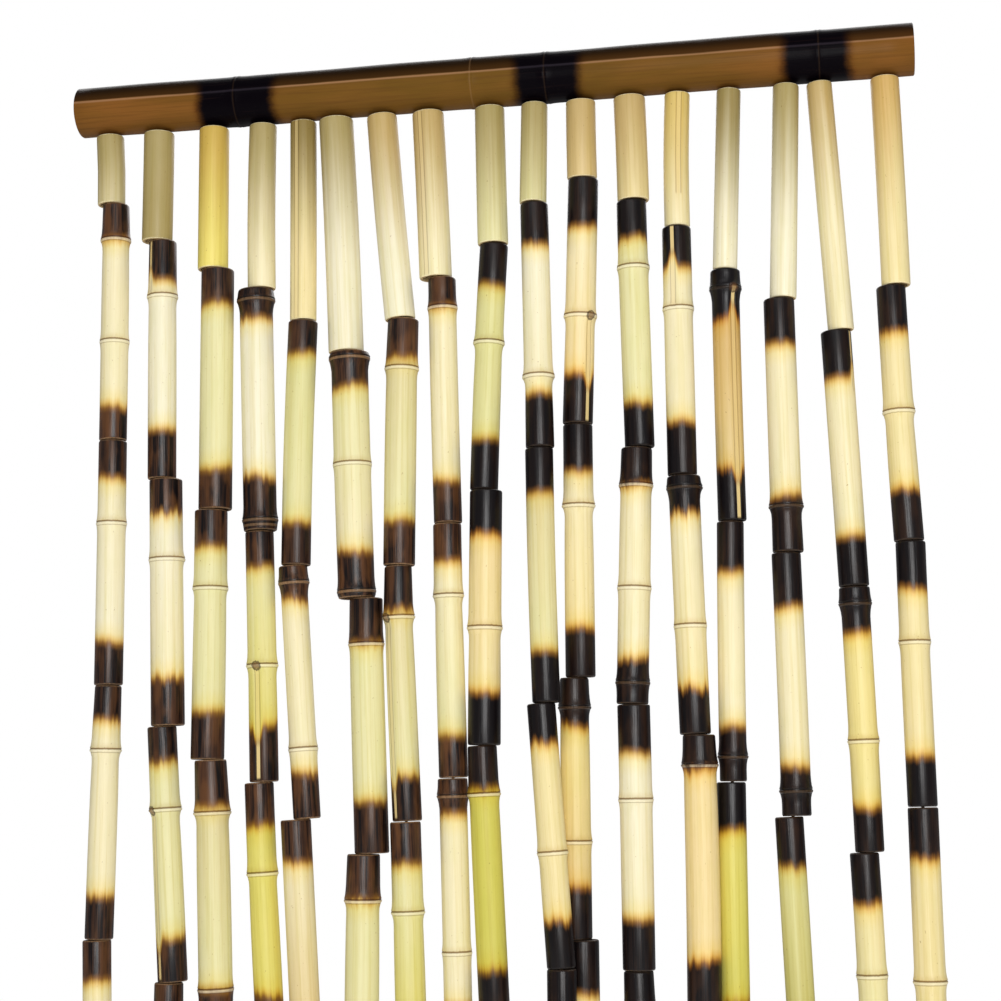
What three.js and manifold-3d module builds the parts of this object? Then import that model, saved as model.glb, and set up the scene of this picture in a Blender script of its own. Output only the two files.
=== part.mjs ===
// A bamboo door curtain: scorched bamboo tubes threaded end to end on cords, hung under a bamboo pole.
// Millimetres, +Z up. The origin is the top of the pole at mid length. X runs along it, -Y is the front.

import * as THREE from "three";
import { mergeVertices } from "three/addons/utils/BufferGeometryUtils.js";
import Module from "manifold-3d";

const wasm = await Module();
wasm.setup();

// pole
const poleLength = 820;
const poleRadius = 24.6;
const poleSides = 16;
const boreRadius = 17;
const boreSides = 12;
const poleNodes = [-246, -10, 62, 322];
const septa = [-246, -10, 62, 331];
const septumWidth = 9;
const nodeHeight = 1.3;
const nodeReach = 6;

// cord, and the holes that it is threaded through
const cordRadius = 1.5;
const cordSides = 4;
const holeRadius = 2.1;
const holeSides = 6;
const seatGap = 0.3;
const threadOverlap = 4;
const knotProfile = [[0, 0], [3.2, 0], [4.6, 2.5], [4.6, 5], [2.6, 8], [0, 8]];
const knotHeight = 8;
const knotDrop = 1;

// tubes
const tubeSides = 8;
const tubeLength = 236;
const tubeGap = 2.2;
const fullTubes = 7;
const gapUnderPole = 3;
const footLevel = -1990;
const ringHeight = 1.2;
const ringReach = 5;

// Below the tubes given in the table each strand eases part of the way back under its own hole, and wavers.
const easing = 0.8;
const settling = 0.6;
const waver = 3.5;

// One row a strand, from left to right. hang is its hole's place along the pole, top the length of its
// first tube, forward how far it hangs to the front and tone its colour. The lists go down the strand tube by
// tube: across is the outside diameter, head and foot are how far the tube's two ends stand to the right of
// the hole, and ring is the node's depth below the head of each tube under the first, or 0 where it has none.
const strands = [
  { hang: -380, top: 70, forward: 2, tone: 0xe6dcb4,
    across: [27, 27, 27, 27], head: [0, 7, 6, 4], foot: [2, 6, 4, -3], ring: [138, 80, 60] },
  { hang: -329, top: 110, forward: -3, tone: 0xe4dfb6,
    across: [30, 28, 32, 28], head: [0, 4, 8, 5], foot: [-2, 4, 11, 17], ring: [55, 77, 77] },
  { hang: -272, top: 143, forward: 3, tone: 0xdddc9c,
    across: [30, 32, 32, 32], head: [0, 4, -2, -2], foot: [-1, 2, -5, 4], ring: [0, 74, 48] },
  { hang: -222, top: 165, forward: -2, tone: 0xe0dda4,
    across: [27, 32, 27, 27], head: [0, -8, -5, -6], foot: [-2, -4, -1, 5], ring: [10, 127, 83] },
  { hang: -181, top: 200, forward: 4, tone: 0xe6dfb4,
    across: [26, 28, 26, 28], head: [0, -1, -12, -10], foot: [-1, -9, 1, 1], ring: [0, 172, 0] },
  { hang: -148, top: 233, forward: -3, tone: 0xdbdc9e,
    across: [34, 35, 32, 32], head: [0, 11, 25, 20], foot: [8, 16, 28, 15], ring: [108, 42, 41] },
  { hang: -102, top: 204, forward: 2, tone: 0xdfe0ac,
    across: [30, 30, 27, 29], head: [0, 19, 11, 15], foot: [16, 12, 17, 19], ring: [47, 47, 81] },
  { hang: -56, top: 165, forward: -4, tone: 0xe6d9ac,
    across: [31, 27, 27, 26], head: [0, 11, 12, 13], foot: [5, 13, 14, 15], ring: [28, 67, 157] },
  { hang: 5, top: 136, forward: 5, tone: 0xdbd995,
    across: [29, 27, 31, 28], head: [0, 2, -10, -18], foot: [1, -12, -16, -11], ring: [95, 128, 43] },
  { hang: 49, top: 99, forward: 13, tone: 0xe6d8a4,
    across: [26, 27, 26, 26], head: [0, -2, -2, -5], foot: [-3, -1, 0, 8], ring: [168, 0, 134] },
  { hang: 94, top: 75, forward: -13, tone: 0xecd6a2,
    across: [29, 29, 28, 28], head: [0, 0, -12, -22], foot: [-1, -12, -16, -25], ring: [133, 76, 149] },
  { hang: 141, top: 102, forward: 2, tone: 0xe4dbac,
    across: [30, 28, 30, 30], head: [0, -1, -3, -13], foot: [1, 0, -14, -15], ring: [64, 130, 85] },
  { hang: 187, top: 131, forward: 7, tone: 0xe8daa6,
    across: [24, 27, 29, 31], head: [0, -5, -6, 0], foot: [-4, -7, -3, -3], ring: [78, 138, 26] },
  { hang: 236, top: 174, forward: -7, tone: 0xe4d68e,
    across: [23, 26, 25, 26], head: [0, -10, -14, -22], foot: [-10, -12, -20, -26], ring: [17, 214, 0] },
  { hang: 290, top: 206, forward: 3, tone: 0xe2dba8,
    across: [25, 29, 27, 25], head: [0, -15, -18, -25], foot: [-11, -16, -18, -20], ring: [194, 214, 0] },
  { hang: 321, top: 239, forward: -4, tone: 0xe6cf92,
    across: [24, 28, 26, 26], head: [0, 5, 11, 9], foot: [10, 11, 14, 11], ring: [0, 138, 106] },
  { hang: 380, top: 200, forward: 2, tone: 0xe2d08c,
    across: [27, 27, 27, 27], head: [2, -2, 4, 3], foot: [3, 3, 3, 2], ring: [117, 90, 150] },
];

const poleAxis = -poleRadius * Math.cos(Math.PI / poleSides);
const boreFloor = poleAxis - boreRadius * Math.cos(Math.PI / boreSides);
const firstHead = 2 * poleAxis - gapUnderPole;
const up = new THREE.Vector3(0, 0, 1);

// A closed geometry as a solid that can be cut and joined.
function toSolid(geometry) {
  geometry.deleteAttribute("normal");
  geometry.deleteAttribute("uv");
  const merged = mergeVertices(geometry, 1e-4);
  const corners = merged.index.array;
  const kept = [];
  for (let i = 0; i < corners.length; i += 3) {
    const [a, b, c] = corners.slice(i, i + 3);
    if (a !== b && b !== c && c !== a) kept.push(a, b, c);
  }
  return new wasm.Manifold(new wasm.Mesh({
    numProp: 3,
    vertProperties: new Float32Array(merged.attributes.position.array),
    triVerts: new Uint32Array(kept),
  }));
}

// A solid as a named mesh.
function toMesh(name, solid, colour, roughness) {
  const { vertProperties, triVerts } = solid.getMesh();
  const geometry = new THREE.BufferGeometry();
  geometry.setAttribute("position", new THREE.BufferAttribute(vertProperties, 3));
  geometry.setIndex(new THREE.BufferAttribute(triVerts, 1));
  const look = { color: colour, roughness, metalness: 0, flatShading: true };
  const mesh = new THREE.Mesh(geometry, new THREE.MeshStandardMaterial(look));
  mesh.name = name;
  return mesh;
}

function join(solids) {
  return solids.reduce((all, one) => all.add(one));
}

// A turned form that stands up along +Z from its profile's lowest point, as pairs of radius and height.
function turned(profile, sides, phase = 0) {
  const points = profile.map(([radius, height]) => new THREE.Vector2(radius, height));
  return new THREE.LatheGeometry(points, sides, phase).rotateX(Math.PI / 2);
}

// An upright rod between two heights.
function rod(x, y, low, high, radius, sides) {
  const geometry = new THREE.CylinderGeometry(radius, radius, high - low, sides);
  return geometry.rotateX(Math.PI / 2).translate(x, y, (low + high) / 2);
}

// The pole is one length of bamboo with raised nodes. It is hollow between its inner walls, and its
// underside is drilled for the cords.
function makePole() {
  const half = poleLength / 2;
  const profile = [[0, -half], [poleRadius, -half]];
  for (const node of poleNodes) {
    const raised = poleRadius + nodeHeight;
    profile.push([poleRadius, node - nodeReach], [raised, node], [poleRadius, node + nodeReach]);
  }
  profile.push([poleRadius, half], [0, half]);
  const alongX = new THREE.Matrix4().makeTranslation(0, 0, poleAxis);
  alongX.multiply(new THREE.Matrix4().makeRotationY(Math.PI / 2));
  const body = toSolid(turned(profile, poleSides, Math.PI / poleSides).applyMatrix4(alongX));

  const overrun = 1;
  const starts = [-half - overrun, ...septa.map((septum) => septum + septumWidth / 2)];
  const stops = [...septa.map((septum) => septum - septumWidth / 2), half + overrun];
  const flatDown = Math.PI / boreSides;
  const hollows = starts.map((start, i) => {
    const length = stops[i] - start;
    const bore = new THREE.CylinderGeometry(boreRadius, boreRadius, length, boreSides, 1, false, flatDown);
    return toSolid(bore.rotateZ(Math.PI / 2).translate((start + stops[i]) / 2, 0, poleAxis));
  });
  const holes = strands.map(({ hang }) => {
    const below = 2 * poleAxis - nodeHeight - overrun;
    return toSolid(rod(hang, 0, below, boreFloor + overrun, holeRadius, holeSides));
  });
  const solid = body.subtract(join(hollows)).subtract(join(holes));
  return toMesh("headrail", solid, 0x7a5226, 0.3);
}

// The two ends of every tube down a strand, from the pole to the foot, with its radius and its ring.
function tubesOf(strand, number) {
  const { hang, top, across, head, foot, ring, forward } = strand;
  const given = across.length;
  const settled = settling * foot[given - 1];
  const eased = (shift, wave) => settled + (shift - settled) * easing + waver * Math.sin(wave);
  const list = [];
  let level = firstHead;
  let last = 0;
  for (let i = 0; i <= fullTubes + 1; i += 1) {
    const wanted = i === 0 ? top : tubeLength;
    const bottom = Math.max(level - wanted, footLevel);
    const like = i < given ? i : 1 + ((i - 1) % (given - 1));
    const headShift = i < given ? head[i] : eased(last, 2.1 * i + 1.7 * number);
    const footShift = i < given ? foot[i] : eased(headShift, 1.3 * i + 2.9 * number);
    const lean = (step) => -forward * Math.min(1, step / (given - 1));
    list.push({
      head: new THREE.Vector3(hang + headShift, lean(i), level),
      foot: new THREE.Vector3(hang + footShift, lean(i + 1), bottom),
      radius: across[like] / 2,
      ring: i === 0 ? 0 : ring[like - 1],
    });
    last = footShift;
    level = bottom - tubeGap;
  }
  return list;
}

// A tube stands from its foot to its head, with a raised ring where the cane had a node.
function makeTube({ head, foot, radius, ring }) {
  const axis = head.clone().sub(foot);
  const length = axis.length();
  const profile = [[0, 0], [radius, 0]];
  const height = length - ring;
  if (ring > ringReach && height > ringReach) {
    profile.push([radius, height - ringReach], [radius + ringHeight, height], [radius, height + ringReach]);
  }
  profile.push([radius, length], [0, length]);
  const turn = new THREE.Quaternion().setFromUnitVectors(up, axis.normalize());
  return toSolid(turned(profile, tubeSides).applyQuaternion(turn).translate(foot.x, foot.y, foot.z));
}

// A strand is its tubes, the cord that shows between them, a knot inside the pole and one under the foot.
function makeStrand(strand, number) {
  const tubes = tubesOf(strand, number);
  const pieces = tubes.map(makeTube);
  const cord = (x, y, low, high) => pieces.push(toSolid(rod(x, y, low, high, cordRadius, cordSides)));
  for (let i = 1; i < tubes.length; i += 1) {
    const middle = tubes[i - 1].foot.clone().add(tubes[i].head).multiplyScalar(0.5);
    cord(middle.x, middle.y, tubes[i].head.z - threadOverlap, tubes[i - 1].foot.z + threadOverlap);
  }
  const knotSeat = boreFloor + seatGap;
  cord(strand.hang, 0, firstHead - threadOverlap, knotSeat + threadOverlap);
  pieces.push(toSolid(turned(knotProfile, tubeSides).translate(strand.hang, 0, knotSeat)));

  const { foot } = tubes[tubes.length - 1];
  cord(foot.x, foot.y, foot.z - threadOverlap, foot.z + threadOverlap);
  const knotFoot = foot.z - knotDrop - knotHeight;
  pieces.push(toSolid(turned(knotProfile, tubeSides).translate(foot.x, foot.y, knotFoot)));
  const name = `strand_${String(number).padStart(2, "0")}`;
  return toMesh(name, join(pieces), strand.tone, 0.45);
}

const curtain = new THREE.Group();
curtain.add(makePole());
strands.forEach((strand, i) => curtain.add(makeStrand(strand, i + 1)));

export default curtain;
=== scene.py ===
import math
import random

import bmesh
import bpy
from mathutils import Matrix, Vector


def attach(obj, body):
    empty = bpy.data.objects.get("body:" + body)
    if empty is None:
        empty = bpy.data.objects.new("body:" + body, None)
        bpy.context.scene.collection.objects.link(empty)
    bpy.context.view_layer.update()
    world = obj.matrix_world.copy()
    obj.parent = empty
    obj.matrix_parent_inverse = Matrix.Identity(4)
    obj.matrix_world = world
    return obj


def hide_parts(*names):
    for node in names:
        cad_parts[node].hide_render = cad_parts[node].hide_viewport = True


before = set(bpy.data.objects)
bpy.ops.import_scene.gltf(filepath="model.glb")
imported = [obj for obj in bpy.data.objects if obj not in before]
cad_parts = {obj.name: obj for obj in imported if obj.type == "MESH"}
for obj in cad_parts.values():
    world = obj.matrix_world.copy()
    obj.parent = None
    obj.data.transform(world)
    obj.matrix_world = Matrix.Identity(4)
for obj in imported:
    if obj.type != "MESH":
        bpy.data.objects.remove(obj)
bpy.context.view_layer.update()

# The sizes in this file are millimetres, and MM brings them to the scene's metres.
MM = 0.001


# Camera, at the place and angle the photograph was taken from, in metres
CAMERA_PLACE = (0.30511, -1.83784, -0.7197)
CAMERA_FORWARD = (-0.15777, 0.97592, 0.15065)
CAMERA_UP = (0.04393, -0.14547, 0.98839)
CAMERA_LENS = 71.93
CAMERA_SENSOR = 36
CAMERA_FAR = 100


def make_camera():
    data = bpy.data.cameras.new("photo_camera")
    data.lens = CAMERA_LENS
    data.sensor_width = CAMERA_SENSOR
    data.clip_end = CAMERA_FAR
    camera = bpy.data.objects.new("photo_camera", data)
    bpy.context.collection.objects.link(camera)
    forward = Vector(CAMERA_FORWARD).normalized()
    up = Vector(CAMERA_UP).normalized()
    right = forward.cross(up)
    turn = Matrix((right, up, -forward)).transposed().to_4x4()
    camera.matrix_world = Matrix.Translation(CAMERA_PLACE) @ turn
    bpy.context.scene.camera = camera


# Shader maths
class Socket:
    """A node's output, so that shader maths reads as an expression."""

    def __init__(self, finish, socket):
        self.finish = finish
        self.socket = socket

    def maths(self, operation, first, second=0.0):
        return self.finish.node("ShaderNodeMath", {"operation": operation}, {0: first, 1: second})

    def __add__(self, other):
        return self.maths("ADD", self, other)

    def __radd__(self, other):
        return self.maths("ADD", other, self)

    def __sub__(self, other):
        return self.maths("SUBTRACT", self, other)

    def __rsub__(self, other):
        return self.maths("SUBTRACT", other, self)

    def __mul__(self, other):
        return self.maths("MULTIPLY", self, other)

    def __rmul__(self, other):
        return self.maths("MULTIPLY", other, self)

    def __truediv__(self, other):
        return self.maths("DIVIDE", self, other)

    def __abs__(self):
        return self.maths("ABSOLUTE", self)


class Finish:
    """A material or world, with one method for its nodes and short words for the common ones."""

    def __init__(self, owner):
        owner.use_nodes = True
        self.owner = owner
        self.tree = owner.node_tree
        self.tree.nodes.clear()

    def node(self, kind, settings=None, sockets=None, out=0):
        """A node with its settings made first and then its sockets' values or links, as one output."""
        made = self.tree.nodes.new(kind)
        for name, value in (settings or {}).items():
            setattr(made, name, value)
        for key, value in (sockets or {}).items():
            socket = self.find(made.inputs, key)
            if isinstance(value, Socket):
                self.tree.links.new(value.socket, socket)
            else:
                socket.default_value = value
        return Socket(self, self.find(made.outputs, out))

    def find(self, sockets, key):
        """A node's socket by its identifier, its name or its number."""
        by_identifier = {socket.identifier: socket for socket in sockets}
        return by_identifier[key] if key in by_identifier else sockets[key]

    def attribute(self, name, out="Vector"):
        return self.node("ShaderNodeAttribute", {"attribute_name": name}, out=out)

    def split(self, vector):
        made = self.node("ShaderNodeSeparateXYZ", sockets={"Vector": vector}).socket.node
        return [Socket(self, output) for output in made.outputs]

    def scaled(self, vector, factors):
        sockets = {0: vector, 1: factors}
        return self.node("ShaderNodeVectorMath", {"operation": "MULTIPLY"}, sockets)

    def noise(self, vector, scale, detail=2.0, roughness=0.5):
        sockets = {"Vector": vector, "Scale": scale, "Detail": detail, "Roughness": roughness}
        return self.node("ShaderNodeTexNoise", sockets=sockets, out="Fac")

    def ease(self, value, low, high):
        settings = {"interpolation_type": "SMOOTHSTEP"}
        sockets = {"Value": value, "From Min": low, "From Max": high}
        return self.node("ShaderNodeMapRange", settings, sockets)

    def largest(self, first, second):
        return self.node("ShaderNodeMath", {"operation": "MAXIMUM"}, {0: first, 1: second})

    def least(self, first, second):
        return self.node("ShaderNodeMath", {"operation": "MINIMUM"}, {0: first, 1: second})

    def mix(self, factor, first, second):
        sockets = {"Factor_Float": factor, "A_Color": first, "B_Color": second}
        return self.node("ShaderNodeMix", {"data_type": "RGBA"}, sockets, out="Result_Color")

    def surface(self, fixed, colour, roughness, height, depth):
        """The shader: fixed holds what is the same all over, the rest changes over the surface."""
        bump = self.node("ShaderNodeBump", sockets={"Height": height, "Distance": depth, "Strength": 1.0})
        sockets = {**fixed, "Base Color": colour, "Roughness": roughness, "Normal": bump}
        shader = self.node("ShaderNodeBsdfPrincipled", sockets=sockets)
        self.node_output(shader)
        return self.owner

    def node_output(self, shader):
        output = self.tree.nodes.new("ShaderNodeOutputMaterial")
        self.tree.links.new(shader.socket, output.inputs["Surface"])


def linear(red, green, blue):
    """A colour given as the photograph's 0 to 255 values, as the shader's linear ones."""
    def one(value):
        value /= 255
        return value / 12.92 if value <= 0.04045 else ((value + 0.055) / 1.055) ** 2.4
    return (one(red), one(green), one(blue), 1.0)


# Finishes. A noise is 0.5 on average, so noise - 0.5 wavers an edge to either side.
POLE_RINGS = (-246, -10, 62, 322)
POLE_BANDS = ((-244, 38), (64.5, 30.5), (320, 30))


def cane_finish():
    """Bamboo skin with long fibres, growth rings, grooves, bud scars and scorched ends, in millimetres."""
    f = Finish(bpy.data.materials.new("scorched_cane"))
    grain = f.attribute("grain")
    from_head, from_foot, fade = f.split(f.attribute("reach"))
    scorch_head, scorch_foot, browning = f.split(f.attribute("scorch"))
    rings = f.split(f.attribute("rings"))
    across, facing, wild = f.split(f.attribute("groove"))
    groove_from, groove_to = f.split(f.attribute("groove_span"))[:2]

    # patterns drawn out along the cane, from fine to wide
    fibre = f.noise(f.scaled(grain, (1, 1, 0.03)), 0.8, 3)
    bands = f.noise(f.scaled(grain, (1, 1, 0.012)), 0.30, 2)
    lines = f.noise(f.scaled(grain, (1, 1, 0.012)), 2.4, 2)
    broad = f.noise(f.scaled(grain, (1, 1, 0.35)), 0.08, 2)
    waves = f.noise(f.scaled(grain, (1, 1, 0.01)), 0.16, 2)
    specks = f.noise(f.scaled(grain, (1, 1, 0.6)), 0.6, 1)

    # clean skin, from the tint at the head to the tint at the foot; on the top canes the darker head tint is
    # painted shade under the pole
    along = f.ease(from_head + (waves - 0.5) * fade * 0.6, 0.0, fade)
    skin = f.mix(along, f.attribute("tint_head", "Color"), f.attribute("tint_foot", "Color"))
    skin = f.mix(f.ease(broad, 0.40, 0.70) * 0.35, skin, f.scaled(skin, (0.93, 0.96, 0.82)))
    skin = f.mix(f.ease(bands, 0.46, 0.66) * 0.75, skin, f.scaled(skin, (0.92, 0.89, 0.75)))
    skin = f.mix(f.ease(fibre, 0.50, 0.74) * 0.35, skin, f.scaled(skin, (0.90, 0.84, 0.66)))
    skin = f.mix(f.ease(lines, 0.58, 0.76) * 0.25, skin, f.scaled(skin, (0.80, 0.70, 0.50)))
    skin = f.mix(f.ease(specks, 0.755, 0.79) * 0.6, skin, f.scaled(skin, (0.50, 0.36, 0.20)))

    # where the growth rings show: a thin dark line over a pale lip, a faint second line, warm skin above
    ring_dark = 0.0
    ring_pale = 0.0
    ring_warm = 0.0
    for ring in rings:
        wavy = ring + (fibre - 0.5) * 0.8
        ring_dark = ring_dark + (1.0 - f.ease(abs(wavy), 0.4, 1.15))
        ring_dark = ring_dark + (1.0 - f.ease(abs(wavy - 3.6), 0.15, 0.7)) * 0.5
        ring_pale = ring_pale + f.ease(ring, 0.4, 1.0) * (1.0 - f.ease(ring, 2.6, 3.8))
        ring_warm = ring_warm + f.ease(ring, -7.0, -0.6) * (1.0 - f.ease(ring, -0.6, 0.2))

    # where the sawn edges show
    rim = 1.0 - f.ease(f.least(from_head, from_foot) + (fibre - 0.5) * 2.0, 0.5, 1.4)

    # where the groove shows: its bare strip, its two dark lips, and the skin beside it
    front = f.ease(facing, 0.0, 2.0)
    span = f.ease(from_head - groove_from, 0.0, 2.0) * f.ease(groove_to - from_head, 0.0, 3.0)
    strip = (1.0 - f.ease(abs(across) + (lines - 0.5) * 1.2, 1.5, 2.1)) * front * span
    lip = (1.0 - f.ease(abs(abs(across) - 2.4), 0.2, 0.8)) * front * span
    shelter = (1.0 - f.ease(abs(across), 1.5, 6.0)) * front * span

    # round the scorching the skin turns brown, amber and yellow, and the groove holds it back
    ragged = ((fibre - 0.5) * 3.0 + (bands - 0.5) * 4.5 + (waves - 0.5) * 9.0) * wild
    inside = f.largest(scorch_head - from_head, scorch_foot - from_foot) + ragged - shelter * 13.0
    skin = f.mix(f.ease(inside, -27.0, -5.0) * 0.80, skin, f.scaled(skin, (1.0, 0.91, 0.60)))
    skin = f.mix(f.ease(inside, -12.5, -2.5) * 0.85, skin, f.scaled(skin, (0.84, 0.60, 0.23)))
    skin = f.mix(f.ease(inside, -7.0, 1.0) * 0.90, skin, f.scaled(skin, (0.36, 0.20, 0.10)))

    # the rings' pale lips and the thin sawn edges stay pale in the glow
    skin = f.mix(ring_warm * 0.35, skin, f.scaled(skin, (0.80, 0.66, 0.42)))
    skin = f.mix(ring_pale * 0.5, skin, linear(250, 240, 208))
    skin = f.mix(ring_dark * 0.88, skin, f.scaled(skin, (0.28, 0.18, 0.09)))
    skin = f.mix(rim * 0.6, skin, linear(250, 238, 196))

    # the scorched skin: black, with brown fibres and patches as far as the cane's browning goes
    charred = f.ease(inside, -4.0, 5.5)
    brown = f.ease(fibre + (bands - 0.5) * 0.7 + (waves - 0.5) * 1.0, 0.30, 0.72) * browning
    char = f.mix(brown, linear(12, 8, 10), linear(78, 50, 33))
    patch = f.ease(broad + (waves - 0.5) * 0.4 - inside * 0.003, 0.38, 0.62) * browning
    char = f.mix(patch * 0.55, char, linear(112, 72, 40))
    char = f.mix(f.ease(lines, 0.58, 0.76) * browning * 0.40, char, linear(136, 94, 54))
    # on the scorch: a painted glint on the rings' lips, stronger on the browner canes, and the sawn rims' own
    # pale colour
    glint = ring_pale * (0.03 + browning * 0.55) * (0.4 + fibre)
    char = f.mix(glint + rim * browning * 0.6, char, linear(176, 138, 98))
    char = f.mix(ring_dark * 0.6, char, linear(12, 8, 7))
    colour = f.mix(charred, skin, char)
    colour = f.mix(lip * 0.5, colour, f.scaled(colour, (0.45, 0.32, 0.20)))
    colour = f.mix(strip * (0.35 + charred * 0.5), colour, linear(240, 212, 146))

    # a bud scar where a groove leaves its ring: a brown knob with a dark broken edge
    below = (from_head - groove_from - 2.0) / 4.2
    spread = across * across * 0.06 + below * below + (fibre - 0.5) * 1.3
    shown = front * f.ease(groove_from, 1.0, 2.0)
    scar = f.ease(spread, 0.35, 0.75) * (1.0 - f.ease(spread, 1.0, 1.5)) * shown
    colour = f.mix((1.0 - f.ease(spread, 0.2, 0.9)) * shown * 0.75, colour, linear(120, 82, 48))
    colour = f.mix(scar * 0.80, colour, linear(64, 40, 22))

    roughness = 0.36 + bands * 0.12 + strip * 0.25 - charred * 0.12
    height = bands * 0.6 + fibre * 0.35 + lines * 0.2 - ring_dark * 0.7 - lip * 0.5 - scar * 1.2
    return f.surface({"Specular IOR Level": 0.29}, colour, roughness, height, 0.0004)


def cut_finish():
    """Sawn ends and bores, pale on clean canes and toasted on scorched ones."""
    f = Finish(bpy.data.materials.new("sawn_cane"))
    place = f.scaled(f.attribute("grain"), (1, 1, 0.1))
    pores = f.noise(place, 1.6, 3)
    broad = f.noise(place, 0.2, 1)
    scorch_head, _, browning = f.split(f.attribute("scorch"))
    toasted = f.ease(scorch_head, -40.0, -10.0)
    pale = f.mix(f.ease(pores, 0.40, 0.62), linear(222, 196, 142), linear(168, 132, 86))
    brown = f.mix(f.ease(pores, 0.40, 0.62), linear(158, 120, 76), linear(88, 58, 34))
    brown = f.mix(f.ease(broad, 0.35, 0.65) * 0.6, brown, linear(58, 36, 20))
    colour = f.mix(toasted, pale, f.mix(browning, linear(30, 22, 18), brown))
    return f.surface({}, colour, 0.7 + pores * 0.2, pores, 0.0004)


def cord_finish():
    """Twisted plant-fibre cord."""
    f = Finish(bpy.data.materials.new("twisted_cord"))
    place = f.node("ShaderNodeTexCoord", out="Object")
    x, y, z = f.split(place)
    twist = f.node("ShaderNodeMath", {"operation": "SINE"}, {0: (x + y) * 1500.0 + z * 3400.0})
    fuzz = f.noise(place, 1600.0, 2)
    colour = f.mix(twist * 0.35 + fuzz * 0.6, linear(142, 116, 78), linear(84, 62, 38))
    return f.surface({}, colour, 0.85 + fuzz * 0.1, twist * 0.6 + fuzz * 0.4, 0.0004)


def pole_finish():
    """The thick pole: warm brown below and darker towards the underside as painted shade, nearly black above
    as painted shade, with a painted highlight line between, and three scorched bands.
    """
    f = Finish(bpy.data.materials.new("scorched_pole"))
    place = f.scaled(f.node("ShaderNodeTexCoord", out="Object"), (1000, 1000, 1000))
    x, y, z = f.split(place)
    fibre = f.noise(f.scaled(place, (0.03, 1, 1)), 0.45, 3)
    lines = f.noise(f.scaled(place, (0.010, 1, 1)), 1.3, 2)
    broad = f.noise(f.scaled(place, (0.25, 1, 1)), 0.05, 2)
    specks = f.noise(f.scaled(place, (0.6, 1, 1)), 0.5, 2)

    warm = f.mix(f.ease(abs(x), 90.0, 360.0), linear(115, 80, 32), linear(130, 84, 37))
    skin = f.mix(f.ease(broad, 0.34, 0.66), warm, f.scaled(warm, (0.84, 0.90, 0.80)))
    skin = f.mix(f.ease(fibre, 0.44, 0.72) * 0.35, skin, linear(92, 60, 26))
    skin = f.mix(f.ease(lines, 0.56, 0.74) * 0.25, skin, linear(74, 46, 18))
    # painted shade: darker towards the underside
    skin = f.mix(f.ease(0.0 - z, 36.0, 48.0) * 0.35, skin, linear(86, 60, 24))

    # painted shade: the upper side nearly black, a little lighter towards the right; a painted highlight: a
    # pale line where it meets the brown face
    painted_shade_top = f.ease(z + (broad - 0.5) * 3.0 + (lines - 0.5) * 1.5, -21.2, -19.4)
    painted_shade_colour = f.mix(f.ease(z, -19.5, -9.0), linear(58, 36, 14), linear(27, 16, 6))
    painted_shade_colour = f.mix(f.ease(x, -150.0, 330.0) * 0.6, painted_shade_colour, f.scaled(painted_shade_colour, (1.7, 1.6, 1.6)))
    painted_highlight_line = f.ease(z, -23.2, -21.2) * (1.0 - f.ease(z, -20.8, -19.4))
    skin = f.mix(painted_highlight_line * 0.55, skin, linear(178, 134, 98))
    skin = f.mix(painted_shade_top * 0.96, skin, painted_shade_colour)

    # scorched bands
    band = 0.0
    for middle, half in POLE_BANDS:
        away = abs(x - middle) + (broad - 0.5) * 10.0 + (specks - 0.5) * 3.0
        band = band + (1.0 - f.ease(away, half - 12.0, half + 12.0))
    char = f.mix(f.ease(fibre, 0.55, 0.8), linear(7, 4, 8), linear(24, 14, 15))
    skin = f.mix(f.ease(band, 0.0, 0.5) * 0.6, skin, f.scaled(skin, (0.50, 0.38, 0.30)))
    burnt = f.ease(band, 0.15, 0.85)
    # a painted highlight along the same line across the scorched bands
    char = f.mix(painted_highlight_line * 0.25, char, linear(72, 64, 74))
    skin = f.mix(burnt, skin, char)

    # fine lines at the rings
    line = 0.0
    for ring in POLE_RINGS:
        line = line + (1.0 - f.ease(abs(x - ring), 0.3, 1.1))
    skin = f.mix(line * (0.16 - burnt * 0.13), skin, linear(168, 128, 88))

    roughness = 0.26 + fibre * 0.12
    height = broad * 0.3 + fibre * 0.5 + lines * 0.3
    return f.surface({"Specular IOR Level": 0.03}, skin, roughness, height, 0.0003)


def floor_finish():
    """A plain pale floor, a little lit from within so that it stays pale where the lamps don't reach."""
    f = Finish(bpy.data.materials.new("pale_floor"))
    pale = (0.82, 0.82, 0.81, 1)
    sockets = {"Base Color": pale, "Roughness": 0.8, "Emission Color": pale, "Emission Strength": 0.28}
    f.node_output(f.node("ShaderNodeBsdfPrincipled", sockets=sockets))
    return f.owner


# Canes
TINTS = {
    "ivory": (246, 238, 206),
    "cream": (245, 233, 190),
    "straw": (243, 225, 168),
    "peach": (244, 219, 160),
    "yellow": (244, 227, 122),
    "leaf": (234, 227, 172),
    "lime": (226, 214, 112),
    "gold": (208, 174, 84),
    "moss": (158, 140, 88),
    "sand": (226, 200, 140),
    "tan": (198, 170, 112),
    "olive": (174, 156, 102),
    "amber": (212, 174, 104),
    "wheat": (226, 212, 158),
    "fern": (224, 218, 152),
    "grass": (212, 203, 94),
    "reed": (198, 187, 106),
    "honey": (240, 222, 148),
    "bark": (144, 123, 70),
    "flax": (222, 194, 116),
}
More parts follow.
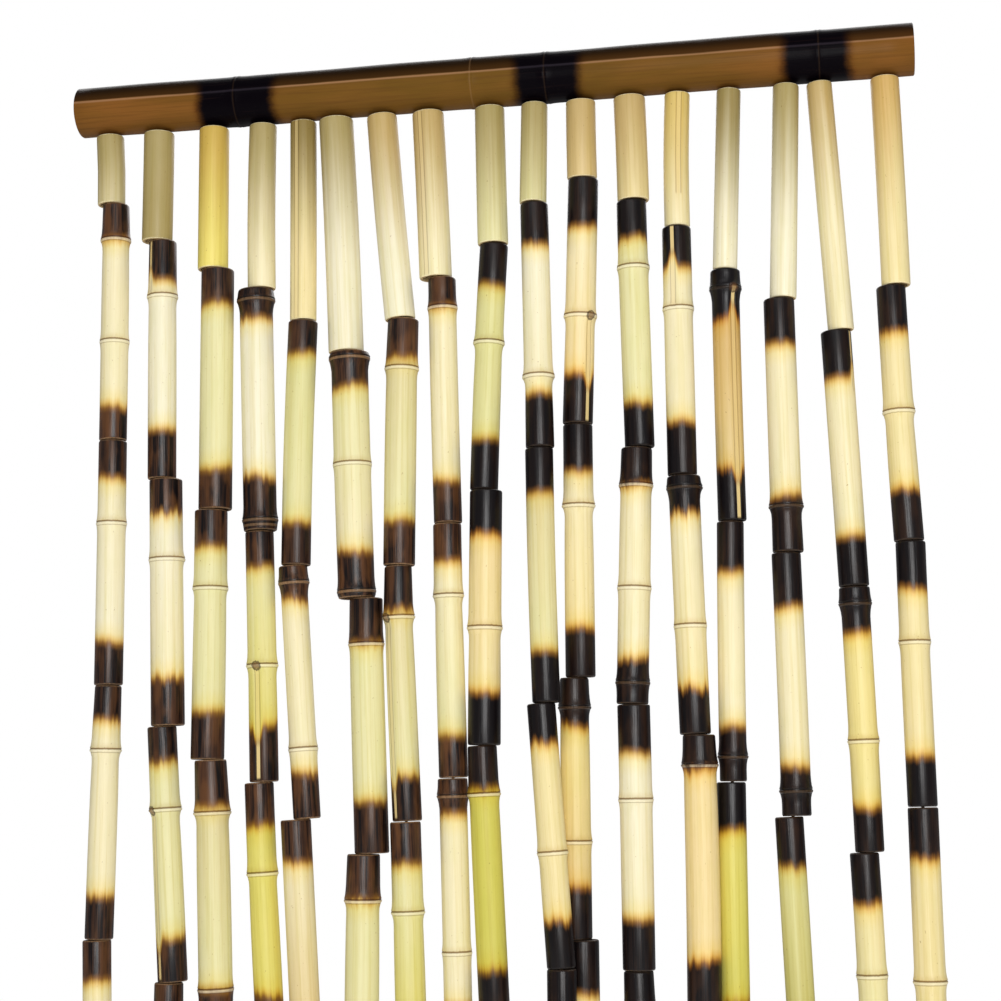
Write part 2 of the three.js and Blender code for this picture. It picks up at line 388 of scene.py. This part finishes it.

# One row a strand, from left to right, as in the part's source: its hole's place along the pole, the length
# of its top cane, how far it hangs forward, and down the strand each cane's outside diameter and how far its
# head and foot stand to the right of the hole. Then what each of its first four canes looks like: the tint at
# its head and at its foot, the length that is scorched at its head and at its foot, its rings' depths below
# its head, and where it has a groove, the groove's turn from the front in degrees and the depths where it
# starts and ends.
# On each strand's top cane the darker tint at its head is painted shade under the pole.
STRANDS = [
    {"hang": -380, "top": 70, "forward": 2,
     "across": (27, 27, 27, 27), "head": (0, 7, 6, 4), "foot": (2, 6, 4, -3),
     "canes": (("olive", "cream", 0, 0, ()), ("cream", "cream", 34, 29, (35, 138)),
               ("cream", "ivory", 35, 39, (80,)), ("cream", "cream", 31, 38, (60,)))},
    {"hang": -329, "top": 110, "forward": -3,
     "across": (30, 28, 32, 28), "head": (0, 4, 8, 5), "foot": (-2, 4, 11, 17),
     "canes": (("olive", "olive", 0, 0, ()), ("ivory", "ivory", 40, 43, (55,), (-43, 0, 55)),
               ("ivory", "cream", 32, 42, (77,)), ("leaf", "leaf", 31, 40, (77,), (-40, 77, 236)))},
    {"hang": -272, "top": 143, "forward": 3,
     "across": (30, 32, 32, 32), "head": (0, 4, -2, -2), "foot": (-1, 2, -5, 4),
     "canes": (("gold", "yellow", 0, 0, ()), ("leaf", "leaf", 36, 37, ()),
               ("leaf", "leaf", 34, 42, (74,)), ("wheat", "leaf", 41, 26, (48, 210)))},
    {"hang": -222, "top": 165, "forward": -2,
     "across": (27, 32, 27, 27), "head": (0, -8, -5, -6), "foot": (-2, -4, -1, 5),
     "canes": (("olive", "cream", 0, 0, ()), ("ivory", "ivory", 30, 47, (10, 226, 231)),
               ("leaf", "lime", 33, 49, (127,), (-8, 127, 236)),
               ("lime", "lime", 38, 40, (83,)))},
    {"hang": -181, "top": 200, "forward": 4,
     "across": (26, 28, 26, 28), "head": (0, -1, -12, -10), "foot": (-1, -9, 1, 1),
     "canes": (("bark", "straw", 0, 0, (), (-20, 0, 201)), ("fern", "leaf", 31, 37, ()),
               ("cream", "cream", 32, 41, (15, 172)), ("cream", "sand", 35, 38, ()))},
    {"hang": -148, "top": 233, "forward": -3,
     "across": (34, 35, 32, 32), "head": (0, 11, 25, 20), "foot": (8, 16, 28, 15),
     "canes": (("olive", "ivory", 0, 0, ()), ("leaf", "cream", 34, 41, (5, 108, 230)),
               ("leaf", "leaf", 39, 45, (42,)), ("leaf", "leaf", 39, 40, (41,)))},
    {"hang": -102, "top": 204, "forward": 2,
     "across": (30, 30, 27, 29), "head": (0, 19, 11, 15), "foot": (16, 12, 17, 19),
     "canes": (("tan", "ivory", 0, 0, ()), ("wheat", "leaf", 37, 39, (47,)),
               ("wheat", "leaf", 40, 39, (47,), (-42, 47, 236)), ("leaf", "lime", 36, 40, (81,)))},
    {"hang": -56, "top": 165, "forward": -4,
     "across": (31, 27, 27, 26), "head": (0, 11, 12, 13), "foot": (5, 13, 14, 15),
     "canes": (("tan", "cream", 0, 0, (), (-25, 0, 166)), ("cream", "cream", 27, 38, (28,)),
               ("cream", "leaf", 33, 36, (67,)), ("cream", "cream", 30, 30, (15, 157)))},
    {"hang": 5, "top": 136, "forward": 5,
     "across": (29, 27, 31, 28), "head": (0, 2, -10, -18), "foot": (1, -12, -16, -11),
     "canes": (("olive", "leaf", 0, 0, ()), ("fern", "fern", 40, 45, (95,)),
               ("peach", "straw", 41, 46, (128,)), ("grass", "grass", 37, 33, (43,)))},
    {"hang": 49, "top": 99, "forward": 13,
     "across": (26, 27, 26, 26), "head": (0, -2, -2, -5), "foot": (-3, -1, 0, 8),
     "canes": (("olive", "leaf", 0, 0, ()), ("ivory", "cream", 39, 47, (168,)),
               ("wheat", "leaf", 42, 44, ()), ("straw", "straw", 34, 39, (134,)))},
    {"hang": 94, "top": 75, "forward": -13,
     "across": (29, 29, 28, 28), "head": (0, 0, -12, -22), "foot": (-1, -12, -16, -25),
     "canes": (("tan", "peach", 0, 0, ()), ("cream", "peach", 46, 44, (133,), (46, 133, 237)),
               ("cream", "straw", 41, 40, (76,)), ("honey", "sand", 43, 44, (26, 149)))},
    {"hang": 141, "top": 102, "forward": 2,
     "across": (30, 28, 30, 30), "head": (0, -1, -3, -13), "foot": (1, 0, -14, -15),
     "canes": (("tan", "straw", 0, 0, ()), ("leaf", "leaf", 38, 38, (64,)),
               ("cream", "cream", 34, 38, (34, 130, 217)), ("ivory", "cream", 43, 44, (85,)))},
    {"hang": 187, "top": 131, "forward": 7,
     "across": (24, 27, 29, 31), "head": (0, -5, -6, 0), "foot": (-4, -7, -3, -3),
     "canes": (("flax", "cream", 0, 0, (), (14, 0, 103)),
               ("cream", "cream", 39, 46, (78,), (-16, 0, 78)),
               ("cream", "straw", 35, 40, (10, 138)), ("peach", "peach", 29, 35, (26,)))},
    {"hang": 236, "top": 174, "forward": -7,
     "across": (23, 26, 25, 26), "head": (0, -10, -14, -22), "foot": (-10, -12, -20, -26),
     "canes": (("moss", "ivory", 0, 0, ()), ("amber", "sand", 47, 46, (17,), (34, 17, 237)),
               ("cream", "cream", 43, 45, (214,)), ("lime", "grass", 42, 40, ()))},
    {"hang": 290, "top": 206, "forward": 3,
     "across": (25, 29, 27, 25), "head": (0, -15, -18, -25), "foot": (-11, -16, -18, -20),
     "canes": (("olive", "ivory", 0, 0, ()), ("cream", "cream", 42, 47, (194,)),
               ("cream", "cream", 48, 41, (214,)), ("fern", "reed", 41, 40, ()))},
    {"hang": 321, "top": 239, "forward": -4,
     "across": (24, 28, 26, 26), "head": (0, 5, 11, 9), "foot": (10, 11, 14, 11),
     "canes": (("tan", "cream", 0, 0, ()), ("cream", "cream", 43, 42, (), (68, 0, 60)),
               ("honey", "honey", 39, 38, (14, 138)), ("straw", "leaf", 41, 40, (106,)))},
    {"hang": 380, "top": 200, "forward": 2,
     "across": (27, 27, 27, 27), "head": (2, -2, 4, 3), "foot": (3, 3, 3, 2),
     "canes": (("amber", "straw", 0, 0, ()), ("straw", "straw", 43, 42, (117,)),
               ("straw", "straw", 42, 42, (90,)), ("straw", "straw", 42, 42, (150,)))},
]

POLE_RADIUS = 24.6
POLE_AXIS = -POLE_RADIUS * math.cos(math.pi / 16)
POLE_HALF = 410
POLE_WALLS = (-250.5, 335.5)
POLE_STEPS = 96
BORE_RADIUS = 17
BORE_FLOOR = POLE_AXIS - BORE_RADIUS * math.cos(math.pi / 12)
GAP_UNDER_POLE = 3
FIRST_HEAD = 2 * POLE_AXIS - GAP_UNDER_POLE
CANE_LENGTH = 236
CANE_GAP = 2.2
END_GROWTH = 0.8
FULL_CANES = 7
SEEN_CANES = 4
FOOT_LEVEL = -1990

# Below the canes given in the table each strand eases part of the way back under its own hole, and wavers.
EASING = 0.8
SETTLING = 0.6
WAVER = 3.5

WALL = 3.2
CANE_STEPS = 40
CANE_HOLLOW = 14
# how far down the top cane its darker head tint, painted shade under the pole, fades out
POLE_SHADE_FADE = 165.0
RING_WIDE = 15
GROOVE_DEPTH = 0.9
GROOVE_WIDE = 2.6
BUD_RISE = 1.9
BUD_WIDE = 4.5
BUD_TALL = 4
BROWN_STRANDS = 8

CORD_RADIUS = 1.5
CORD_STEPS = 12
CORD_REACH = 13
KNOT_RADIUS = 4.6
KNOT_HEIGHT = 8
KNOT_CORD = 1.35
KNOT_TURNS = 42
SEAT_GAP = 0.3
BURR_STEPS = 20

# A cane's layers, on its points: where it is in the grain, its depth from head and foot and the tints' fade,
# the scorched lengths and their browning, its depth from each ring, its place across and out from the groove
# with the scorched edge's wildness, the groove's start and end, and the tints at head and foot.
CANE_LAYERS = ("grain", "reach", "scorch", "rings", "groove", "groove_span", "tint_head", "tint_foot")
SAWN_LAYERS = ("grain", "scorch")
SAWN_SCORCH = (0, 0, 1)
CLEAN = -80
FAR_RING = 500.0
NO_GROOVE = (0, 900, 901)


def canes_of(strand, number):
    """Head, foot, radius and row of every cane down a strand, set out as in the part's source."""
    across, head, foot = strand["across"], strand["head"], strand["foot"]
    given = len(across)
    settled = SETTLING * foot[-1]

    def eased(shift, wave):
        return settled + (shift - settled) * EASING + WAVER * math.sin(wave)

    def lean(step):
        return -strand["forward"] * min(1, step / (given - 1))

    canes = []
    level = FIRST_HEAD
    last = 0
    for i in range(FULL_CANES + 2):
        bottom = max(level - (strand["top"] if i == 0 else CANE_LENGTH), FOOT_LEVEL)
        like = i if i < given else 1 + (i - 1) % (given - 1)
        head_shift = head[i] if i < given else eased(last, 2.1 * i + 1.7 * number)
        foot_shift = foot[i] if i < given else eased(head_shift, 1.3 * i + 2.9 * number)
        canes.append({
            "head": Vector((strand["hang"] + head_shift, lean(i), level + (END_GROWTH if i else 0))),
            "foot": Vector((strand["hang"] + foot_shift, lean(i + 1), bottom - END_GROWTH)),
            "radius": across[like] / 2,
            "look": strand["canes"][like],
            "index": i,
        })
        last = foot_shift
        level = bottom - CANE_GAP
    return canes


def spin_profile(points, steps, layers=()):
    """Turns a profile of radius and height round Z into a closed form, with the layers on its points."""
    mesh = bmesh.new()
    on_points = mesh.verts.layers
    for name in layers:
        kind = on_points.float_color if name.startswith("tint") else on_points.float_vector
        kind.new(name)
    verts = [mesh.verts.new((radius, 0, height)) for radius, height in points]
    edges = [mesh.edges.new(pair) for pair in zip(verts, verts[1:])]
    bmesh.ops.spin(mesh, geom=verts + edges, cent=(0, 0, 0), axis=(0, 0, 1), angle=2 * math.pi,
                   steps=steps, use_merge=True)
    bmesh.ops.remove_doubles(mesh, verts=mesh.verts, dist=0.0005)
    bmesh.ops.recalc_face_normals(mesh, faces=mesh.faces)
    return mesh


def to_data(mesh, name):
    """A bmesh as a mesh, with the bmesh let go."""
    data = bpy.data.meshes.new(name)
    mesh.to_mesh(data)
    mesh.free()
    return data


def ring_points(radius, depth, length, chance):
    """The raised growth ring on a cane's outline: two lips with a fine groove between them."""
    swell = chance.uniform(0.85, 1.25)
    rise = ((-12, 0), (-7, 0.2), (-3.5, 0.5), (-1.4, 0.9), (-0.7, 1.1), (0, 0.55), (0.8, 1.25), (2.2, 1.15),
            (3.2, 0.75), (5, 0.5), (8, 0.2), (13, 0))
    return [(radius + lift * swell, -depth - step) for step, lift in rise
            if 2.5 < depth + step < length - 2.5]


def cane_profile(radius, length, rings, chance):
    """A cane's outline from the hollow at its head to the hollow at its foot, as radius and height."""
    bore = radius - WALL
    deep = min(CANE_HOLLOW, length / 3)
    outer = [(radius, -1.9)]
    marks = sorted(rings)
    for depth in marks:
        for point in ring_points(radius, depth, length, chance):
            if point[1] < outer[-1][1] - 0.25:
                outer.append(point)
    steps = int(length // 30)
    for i in range(1, steps):
        depth = length * i / steps
        if all(abs(depth - mark) > RING_WIDE for mark in marks):
            outer.append((radius, -depth))
    outer.sort(key=lambda point: -point[1])
    outer.append((radius, 1.9 - length))
    head = [(0, -deep), (bore, -deep), (bore, -0.5), (bore + 0.5, 0), (radius - 1.5, 0),
            (radius - 0.7, -0.25), (radius - 0.2, -0.9)]
    foot = [(width, -length - height) for width, height in reversed(head)]
    return head + outer + foot


def make_cane(cane, chance):
    """One cane between its head and foot, with its own rings, groove, scorching, bow and taper."""
    head, foot, radius = cane["head"], cane["foot"], cane["radius"]
    tint_head, tint_foot, scorch_head, scorch_foot, rings, *grooves = cane["look"]
    length = (head - foot).length
    rings = [depth for depth in rings if depth < length - 3]
    unseen = cane["index"] >= SEEN_CANES
    if unseen:
        scorch_head += chance.uniform(-4, 5)
        scorch_foot += chance.uniform(-4, 5)
        rings = [depth + chance.uniform(-30, 40) for depth in rings if 40 < depth < length - 70]
    if cane["index"] == 0:
        scorch_head = scorch_foot = CLEAN
    turned, groove_from, groove_to = grooves[0] if grooves else NO_GROOVE
    if unseen:
        turned += chance.uniform(-60, 60)
    if not grooves and chance.random() < 0.35:
        turned, groove_from, groove_to = chance.uniform(110, 250), rings[0] if rings else 0, length
    turned = math.radians(turned)
    groove_out = Vector((math.sin(turned), -math.cos(turned), 0))
    groove_side = Vector((math.cos(turned), math.sin(turned), 0))
    mesh = spin_profile(cane_profile(radius, length, rings, chance), CANE_STEPS, CANE_LAYERS)
    vectors = [mesh.verts.layers.float_vector[name] for name in CANE_LAYERS[:6]]
    grain, reach, scorch, ring_layer, groove, groove_span = vectors
    from_tint, to_tint = (mesh.verts.layers.float_color[name] for name in CANE_LAYERS[6:])
    for face in mesh.faces:
        middle = face.calc_center_median()
        face.material_index = 1 if math.hypot(middle.x, middle.y) < radius - 0.7 else 0
        face.smooth = True

    slant_head, slant_foot = chance.uniform(-3.0, 3.0), chance.uniform(-3.0, 3.0)
    wild = chance.choice((0.7, 0.9, 1.0, 1.2, 1.7))
    oval = chance.uniform(0.006, 0.02)
    oval_turn = chance.uniform(0, math.pi)
    taper = chance.uniform(-0.02, 0.02)
    waist = chance.uniform(0.0, 0.07)
    bow = chance.uniform(-1.3, 1.3)
    bend_at = rings[0] / length if rings and 40 < rings[0] < length - 40 else 0.5
    bow_turn = chance.uniform(0, math.pi)
    offset = Vector((chance.uniform(0, 900), chance.uniform(0, 900), chance.uniform(0, 900)))
    fade = POLE_SHADE_FADE if cane["index"] == 0 else length
    turn = Vector((0, 0, 1)).rotation_difference(head - foot).to_matrix()
    for vert in mesh.verts:
        x, y, z = vert.co
        around = math.atan2(y, x)
        depth = -z
        vert[grain] = vert.co + offset
        vert[reach] = (depth, length - depth, fade)
        vert[scorch] = (scorch_head + slant_head * math.cos(around + oval_turn),
                        scorch_foot + slant_foot * math.cos(around - oval_turn), cane["browning"])
        vert[ring_layer] = [depth - ring for ring in rings[:3]] + [FAR_RING] * (3 - len(rings[:3]))
        across, facing = groove_side.dot(vert.co), groove_out.dot(vert.co)
        vert[groove] = (across, facing, wild)
        vert[groove_span] = (groove_from, groove_to, 0)
        vert[from_tint] = linear(*TINTS[tint_head])
        vert[to_tint] = linear(*TINTS[tint_foot])

        # how much wider or narrower the cane is here: oval and taper, then its ring, groove and bud
        out = 1 + oval * math.cos(2 * around + oval_turn) + taper * (depth / length - 0.5)
        if rings and rings[0] < 25:
            out += 0.07 * max(0, min(1, 1 - (depth - rings[0]) / 12))
        elif rings and depth > rings[0] + 3:
            out -= waist * min(1, (depth - rings[0] - 3) / 6) * math.exp((rings[0] + 9 - depth) / 30)
        elif rings:
            out += waist * 0.4 * math.exp((depth - rings[0]) / 16)
            if rings[0] < 62:
                out -= waist * max(0, min(1, 1 - depth / rings[0])) ** 1.5
        if groove_from - 1 < depth < groove_to + 1 and facing > 0:
            out -= GROOVE_DEPTH / radius * math.exp(-(across / GROOVE_WIDE) ** 2)
        if groove_from > 1 and facing > 0:
            spread = (across / BUD_WIDE) ** 2 + ((depth - groove_from - 1) / BUD_TALL) ** 2
            out += BUD_RISE / radius * math.exp(-spread)
        if math.hypot(x, y) < radius - 1:
            out = 1

        # the bow, which is greatest at the ring or half-way
        along = min(1, max(0, depth / length))
        along = along / bend_at / 2 if along < bend_at else 1 - (1 - along) / (1 - bend_at) / 2
        sway = bow * math.sin(math.pi * along)
        local = Vector((x * out + sway * math.cos(bow_turn), y * out + sway * math.sin(bow_turn), z))
        vert.co = (turn @ local + head) * MM
    return to_data(mesh, "cane")


def make_rod(x, y, low, high, radius):
    """A closed length of cord, from one height to another."""
    points = ((0, low), (radius * 0.8, low), (radius, low + 0.4), (radius, high - 0.4),
              (radius * 0.8, high), (0, high))
    mesh = spin_profile(points, CORD_STEPS)
    for vert in mesh.verts:
        vert.co = (vert.co + Vector((x, y, 0))) * MM
    for face in mesh.faces:
        face.material_index = 2
        face.smooth = True
    return to_data(mesh, "cord")


def make_knot(x, y, low, high):
    """An overhand knot: the cord's own loop, drawn tight, between two heights."""
    curve = bpy.data.curves.new("knot_path", "CURVE")
    curve.dimensions = "3D"
    curve.bevel_depth = KNOT_CORD * MM
    curve.bevel_resolution = 2
    curve.resolution_u = 1
    spline = curve.splines.new("POLY")
    spline.points.add(KNOT_TURNS - 1)
    tall = (high - low) / 2 - KNOT_CORD
    wide = (KNOT_RADIUS - KNOT_CORD) / 3
    for i, point in enumerate(spline.points):
        t = 2 * math.pi * i / KNOT_TURNS
        loop = Vector(((math.sin(t) + 2 * math.sin(2 * t)) * wide,
                       (math.cos(t) - 2 * math.cos(2 * t)) * wide,
                       -math.sin(3 * t) * tall))
        point.co = (*((loop + Vector((x, y, (low + high) / 2))) * MM), 1)
    spline.use_cyclic_u = True
    holder = bpy.data.objects.new("knot_path", curve)
    data = bpy.data.meshes.new_from_object(holder)
    for face in data.polygons:
        face.material_index = 2
        face.use_smooth = True
    bpy.data.objects.remove(holder)
    bpy.data.curves.remove(curve)
    return data


def finish_piece(parts, name, finishes, node):
    """Joins a piece's parts into one mesh and puts it in the scene in its CAD node's place."""
    mesh = bmesh.new()
    for part in parts:
        mesh.from_mesh(part)
        bpy.data.meshes.remove(part)
    data = to_data(mesh, name)
    for finish in finishes:
        data.materials.append(finish)
    piece = bpy.data.objects.new(name, data)
    bpy.context.collection.objects.link(piece)
    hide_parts(node)
    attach(piece, "root")
    return piece


def make_strand(strand, number, finishes):
    """A strand's canes, the cord between and above them, and its two knots, as one piece."""
    chance = random.Random(100 + number)
    canes = canes_of(strand, number)
    parts = []
    for cane in canes:
        brown = number <= BROWN_STRANDS
        cane["browning"] = chance.uniform(0.45, 1.0) if brown else chance.uniform(0.0, 0.2)
        parts.append(make_cane(cane, chance))
    for above, below in zip(canes, canes[1:]):
        middle = (above["foot"] + below["head"]) / 2
        low, high = below["head"].z - CORD_REACH, above["foot"].z + CORD_REACH
        parts.append(make_rod(middle.x, middle.y, low, high, CORD_RADIUS))
    seat = BORE_FLOOR + SEAT_GAP
    parts.append(make_rod(strand["hang"], 0, FIRST_HEAD - CORD_REACH, BORE_FLOOR + 4, CORD_RADIUS))
    parts.append(make_knot(strand["hang"], 0, seat, seat + KNOT_HEIGHT))
    foot = canes[-1]["foot"]
    parts.append(make_rod(foot.x, foot.y, foot.z - 8.6, foot.z + 10, CORD_RADIUS))
    parts.append(make_knot(foot.x, foot.y, foot.z - 1 - KNOT_HEIGHT, foot.z - 1))
    name = f"threaded_canes_{number:02d}"
    return finish_piece(parts, name, finishes, f"strand_{number:02d}")


def make_burr(x):
    """The torn fibres that a drill leaves round a hole in the pole's underside, a low ragged lip."""
    low = POLE_AXIS - POLE_RADIUS
    points = ((0, low + 0.9), (3.0, low + 0.9), (3.1, low + 0.1), (2.6, low - 0.5), (2.0, low - 0.6),
              (1.8, low + 0.3), (0, low + 0.3))
    mesh = spin_profile(points, BURR_STEPS, SAWN_LAYERS)
    grain, scorch = (mesh.verts.layers.float_vector[name] for name in SAWN_LAYERS)
    for face in mesh.faces:
        face.material_index = 1
    for vert in mesh.verts:
        around = math.atan2(vert.co.y, vert.co.x)
        ragged = 1 + 0.10 * math.sin(5 * around + x) + 0.07 * math.sin(9 * around - x)
        vert[grain] = vert.co + Vector((x, 0, 0))
        vert[scorch] = SAWN_SCORCH
        vert.co = Vector((vert.co.x * ragged + x, vert.co.y * ragged, vert.co.z)) * MM
    return to_data(mesh, "burr")


def make_pole(finishes):
    """One length of thick bamboo, hollow at its sawn ends as far as its first inner walls."""
    outer = [(POLE_RADIUS, -POLE_HALF + 0.8)]
    rise = ((-9, 0), (-4.5, 0.15), (-2.4, 0.45), (-1.4, 0.55), (-0.6, 0.3), (0.6, 0.3), (1.4, 0.55),
            (2.4, 0.45), (4.5, 0.15), (9, 0))
    for ring in POLE_RINGS:
        outer += [(POLE_RADIUS + lift, ring + step) for step, lift in rise]
    for along in range(-POLE_HALF + 18, POLE_HALF - 10, 18):
        if all(abs(along - ring) > 14 for ring in POLE_RINGS):
            outer.append((POLE_RADIUS, along))
    outer.append((POLE_RADIUS, POLE_HALF - 0.8))
    outer.sort(key=lambda point: point[1])
    left_wall, right_wall = POLE_WALLS
    left = [(0, left_wall), (BORE_RADIUS, left_wall), (BORE_RADIUS, 0.8 - POLE_HALF),
            (BORE_RADIUS + 0.8, -POLE_HALF), (POLE_RADIUS - 0.8, -POLE_HALF)]
    right = [(POLE_RADIUS - 0.8, POLE_HALF), (BORE_RADIUS + 0.8, POLE_HALF),
             (BORE_RADIUS, POLE_HALF - 0.8), (BORE_RADIUS, right_wall), (0, right_wall)]
    mesh = spin_profile(left + outer + right, POLE_STEPS, SAWN_LAYERS)
    grain, scorch = (mesh.verts.layers.float_vector[name] for name in SAWN_LAYERS)
    for face in mesh.faces:
        middle = face.calc_center_median()
        face.material_index = 1 if math.hypot(middle.x, middle.y) < POLE_RADIUS - 0.7 else 0
        face.smooth = True
    turn = Matrix.Rotation(math.pi / 2, 3, "Y")
    for vert in mesh.verts:
        x, y, z = vert.co
        vert[grain] = vert.co
        vert[scorch] = SAWN_SCORCH
        if math.hypot(x, y) > POLE_RADIUS - 0.5:
            lump = 0.010 * math.sin(z / 47 + 1.2 * math.atan2(y, x)) + 0.006 * math.sin(z / 19)
            vert.co = (x * (1 + lump), y * (1 + lump), z)
        vert.co = (turn @ vert.co + Vector((0, 0, POLE_AXIS))) * MM
    parts = [to_data(mesh, "pole")] + [make_burr(strand["hang"]) for strand in STRANDS]
    return finish_piece(parts, "bamboo_pole", finishes, "headrail")


# Stage, in metres and watts
FLOOR_LEVEL = -2.03
FLOOR_RADIUS = 7


def add_light(name, place, target, size, size_y, energy):
    """A rectangular lamp aimed at a target, which the camera doesn't see."""
    data = bpy.data.lights.new(name, "AREA")
    data.shape = "RECTANGLE"
    data.size = size
    data.size_y = size_y
    data.energy = energy
    light = bpy.data.objects.new(name, data)
    bpy.context.collection.objects.link(light)
    light.location = place
    light.rotation_mode = "QUATERNION"
    light.rotation_quaternion = (Vector(target) - Vector(place)).to_track_quat("-Z", "Y")
    light.visible_camera = False


def make_stage():
    """The floor, a plain sky that the camera sees as white, and three soft lamps."""
    mesh = bmesh.new()
    bmesh.ops.create_circle(mesh, cap_ends=True, radius=FLOOR_RADIUS, segments=96)
    bmesh.ops.translate(mesh, verts=mesh.verts, vec=(0, 0, FLOOR_LEVEL))
    data = to_data(mesh, "floor")
    data.materials.append(floor_finish())
    floor = bpy.data.objects.new("floor", data)
    bpy.context.collection.objects.link(floor)

    world = bpy.data.worlds.new("studio")
    bpy.context.scene.world = world
    w = Finish(world)
    seen = w.node("ShaderNodeLightPath", out="Is Camera Ray")
    shade = w.mix(seen, (0.24, 0.24, 0.25, 1), (1.0, 1.0, 1.0, 1))
    light = w.node("ShaderNodeBackground", sockets={"Color": shade, "Strength": 1.0})
    output = w.tree.nodes.new("ShaderNodeOutputWorld")
    w.tree.links.new(light.socket, output.inputs["Surface"])

    add_light("key", (0.68, -3.1, -0.2), (0, 0, -0.6), 1.2, 1.6, 66)
    add_light("strip", (-0.1, -2.2, 1.15), (0, 0, -0.02), 2.2, 0.16, 6)
    add_light("over", (0.0, 2.3, 1.5), (0, 1.0, -2), 3.6, 2.6, 75)
    bpy.context.scene.view_settings.view_transform = "Standard"


make_camera()
make_stage()
cane, sawn, cord = cane_finish(), cut_finish(), cord_finish()
for number, strand in enumerate(STRANDS, 1):
    make_strand(strand, number, (cane, sawn, cord))
make_pole((pole_finish(), sawn))
